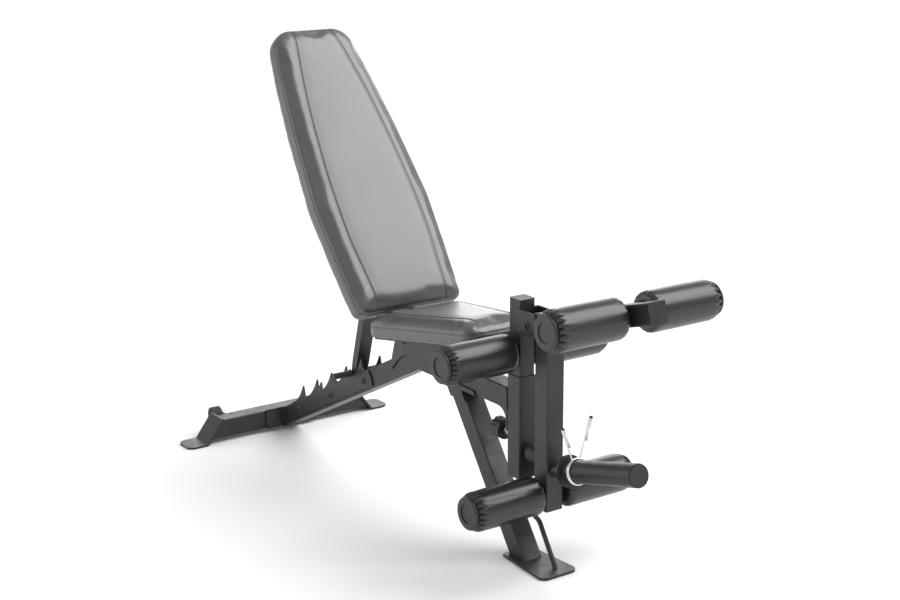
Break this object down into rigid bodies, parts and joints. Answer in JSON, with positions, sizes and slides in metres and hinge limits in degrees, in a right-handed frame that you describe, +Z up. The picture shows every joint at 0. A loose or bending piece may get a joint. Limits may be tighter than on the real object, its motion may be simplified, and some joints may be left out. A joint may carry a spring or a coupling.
{
  "type": "adjustable_weight_bench",
  "caption": "Adjustable weight bench with a tapered backrest on a toothed ladder, a tilted seat, and a leg developer with foam rollers, weight sleeve and spring clip",
  "frame": {"origin": "On the floor, at the middle of the bench's overall box.", "axes": "+X forward to the leg developer, +Y to the sitter's left, +Z up"},
  "size_m": [1.584, 0.618, 1.1011],
  "materials": {
    "powder_coat": "satin charcoal-black powder coat with a fine texture",
    "black_fastener": "black oxide, semi-gloss",
    "zinc_steel": "zinc-plated steel",
    "black_plastic": "moulded black plastic with a light grain",
    "black_rubber": "matt black rubber",
    "pad_vinyl": "charcoal grained vinyl, semi-gloss, with stitched seams",
    "roller_vinyl": "black smooth vinyl over foam, glossy",
    "plywood": "bare plywood board",
    "chrome": "bright chrome-plated spring wire"
  },
  "bodies": {
    "frame": {"rear_stabilizer": "powder_coat", "foot_plate_left": "powder_coat", "foot_plate_right": "powder_coat", "saddle_bracket": "powder_coat", "wheel_brackets": "powder_coat", "wheel_bolts": "black_fastener", "spine_tube": "powder_coat", "ladder_plate_left": "powder_coat", "ladder_plate_right": "powder_coat", "frame_bolts": "black_fastener", "hinge_cheek_left": "powder_coat", "hinge_cheek_right": "powder_coat", "hinge_bolt": "black_fastener", "seat_beam": "powder_coat", "front_leg": "powder_coat", "leg_gussets": "powder_coat", "front_foot": "powder_coat", "lifting_bar": "powder_coat", "receiver_tube": "powder_coat", "receiver_plug": "black_plastic", "receiver_gussets": "powder_coat", "pin_collar": "zinc_steel", "seat_pad": "pad_vinyl", "seat_board": "plywood", "seat_brackets": "powder_coat", "seat_bolts": "zinc_steel"},
    "wheel_left": {"transport_wheel_left": "black_rubber"},
    "wheel_right": {"transport_wheel_right": "black_rubber"},
    "pull_pin": {"pull_pin": "black_plastic"},
    "backrest": {"back_pad": "pad_vinyl", "back_board": "plywood", "back_rail_left": "powder_coat", "back_rail_right": "powder_coat", "back_straps": "powder_coat", "back_bolts": "zinc_steel", "strut_axle": "black_fastener"},
    "strut": {"strut": "powder_coat", "strut_pin": "black_fastener"},
    "leg_post": {"insert_post": "powder_coat", "post_cap": "black_plastic", "pivot_bracket": "powder_coat", "pivot_bolt": "black_fastener", "knee_rod": "powder_coat", "knee_rod_caps": "black_plastic"},
    "lever": {"lever_tube": "powder_coat", "arm_tube": "powder_coat", "tube_caps": "black_plastic", "pivot_bush": "zinc_steel", "lever_rods": "powder_coat", "lever_rod_caps": "black_plastic", "bumper": "black_rubber", "sleeve_stub": "powder_coat", "weight_sleeve": "powder_coat"},
    "clip": {"spring_clip": "chrome"},
    "knee_roller_left": {"knee_roller_left": "roller_vinyl"},
    "knee_roller_right": {"knee_roller_right": "roller_vinyl"},
    "arm_roller_left": {"arm_roller_left": "roller_vinyl"},
    "arm_roller_right": {"arm_roller_right": "roller_vinyl"},
    "ankle_roller_left": {"ankle_roller_left": "roller_vinyl"},
    "ankle_roller_right": {"ankle_roller_right": "roller_vinyl"}
  },
  "joints": [
    {"name": "back_recline", "type": "hinge", "parent": "frame", "child": "backrest", "pos_m": [-0.07552, 0, 0.405], "axis": [0, -1, 0], "range_deg": [0, 53.3]},
    {"name": "strut_fold", "type": "hinge", "parent": "backrest", "child": "strut", "pos_m": [-0.22762, 0, 0.58061], "axis": [0, 1, 0], "range_deg": [0, 82]},
    {"name": "post_slide", "type": "slide", "parent": "frame", "child": "leg_post", "axis": [0, 0, 1], "range_m": [0, 0.05]},
    {"name": "lever_swing", "type": "hinge", "parent": "leg_post", "child": "lever", "pos_m": [0.41108, 0, 0.5496], "axis": [0, -1, 0], "range_deg": [0, 80]},
    {"name": "pin_pull", "type": "slide", "parent": "frame", "child": "pull_pin", "axis": [-1, 0, 0], "range_m": [0, 0.012], "stiffness_N_per_m": 800},
    {"name": "clip_slide", "type": "slide", "parent": "lever", "child": "clip", "axis": [0.9659, 0, 0.2588], "range_m": [0, 0.175]},
    {"name": "knee_left_spin", "type": "hinge", "parent": "leg_post", "child": "knee_roller_left", "pos_m": [0.35448, 0.1195, 0.4766], "axis": [0, 1, 0], "continuous": true},
    {"name": "knee_right_spin", "type": "hinge", "parent": "leg_post", "child": "knee_roller_right", "pos_m": [0.35448, -0.1195, 0.4766], "axis": [0, 1, 0], "continuous": true},
    {"name": "arm_left_spin", "type": "hinge", "parent": "lever", "child": "arm_roller_left", "pos_m": [0.70892, 0.1195, 0.63557], "axis": [0, 1, 0], "continuous": true},
    {"name": "arm_right_spin", "type": "hinge", "parent": "lever", "child": "arm_roller_right", "pos_m": [0.70892, -0.1195, 0.63557], "axis": [0, 1, 0], "continuous": true},
    {"name": "ankle_left_spin", "type": "hinge", "parent": "lever", "child": "ankle_roller_left", "pos_m": [0.45158, 0.1195, 0.1822], "axis": [0, 1, 0], "continuous": true},
    {"name": "ankle_right_spin", "type": "hinge", "parent": "lever", "child": "ankle_roller_right", "pos_m": [0.45158, -0.1195, 0.1822], "axis": [0, 1, 0], "continuous": true},
    {"name": "wheel_left_spin", "type": "hinge", "parent": "frame", "child": "wheel_left", "pos_m": [-0.76702, 0.187, 0.048], "axis": [0, 1, 0], "continuous": true},
    {"name": "wheel_right_spin", "type": "hinge", "parent": "frame", "child": "wheel_right", "pos_m": [-0.76702, -0.187, 0.048], "axis": [0, 1, 0], "continuous": true}
  ],
  "couplings": [
    {"joint": "strut_fold", "follows": "back_recline", "ratio": 1.52}
  ]
}
